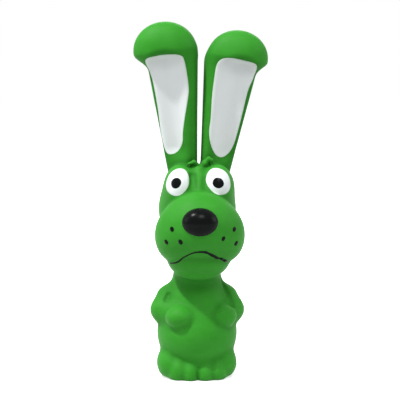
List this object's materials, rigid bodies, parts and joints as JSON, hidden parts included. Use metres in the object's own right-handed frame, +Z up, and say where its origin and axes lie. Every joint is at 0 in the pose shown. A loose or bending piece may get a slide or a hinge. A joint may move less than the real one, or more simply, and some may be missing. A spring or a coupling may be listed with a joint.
{
  "type": "squeaky latex animal dog toy",
  "caption": "Hollow moulded latex dog toy of a standing long-eared animal, with painted face and a push-in squeaker in the base.",
  "frame": {"origin": "on the surface that the toy stands on, under the middle of its bounding box", "axes": "+Z up from the base to the ears, -Y the way the face looks, +X to the right as seen from the front"},
  "size_m": [0.0862, 0.0752, 0.2299],
  "materials": {
    "green_latex": "matt moulded latex",
    "white_paint": "satin paint",
    "black_paint": "gloss paint",
    "squeaker_plastic": "moulded polythene",
    "reed_film": "thin plastic strip"
  },
  "bodies": {
    "toy": {"latex_skin": "green_latex", "ear_lining_left": "white_paint", "ear_lining_right": "white_paint", "eye_white_left": "white_paint", "eye_white_right": "white_paint", "pupil_left": "black_paint", "pupil_right": "black_paint", "nose_black": "black_paint", "whisker_dot_left_1": "black_paint", "whisker_dot_left_2": "black_paint", "whisker_dot_left_3": "black_paint", "whisker_dot_right_1": "black_paint", "whisker_dot_right_2": "black_paint", "whisker_dot_right_3": "black_paint", "mouth_line": "black_paint", "squeaker_housing": "squeaker_plastic", "squeaker_cap": "squeaker_plastic", "reed_lay": "squeaker_plastic", "reed_clamp": "squeaker_plastic"},
    "reed": {"reed": "reed_film"}
  },
  "joints": [
    {"name": "reed_flex", "type": "hinge", "parent": "toy", "child": "reed", "pos_m": [-0.00258, 0.00683, 0.006], "axis": [1, 0, 0], "range_deg": [-4, 4], "stiffness_Nm_per_rad": 0.0001}
  ]
}
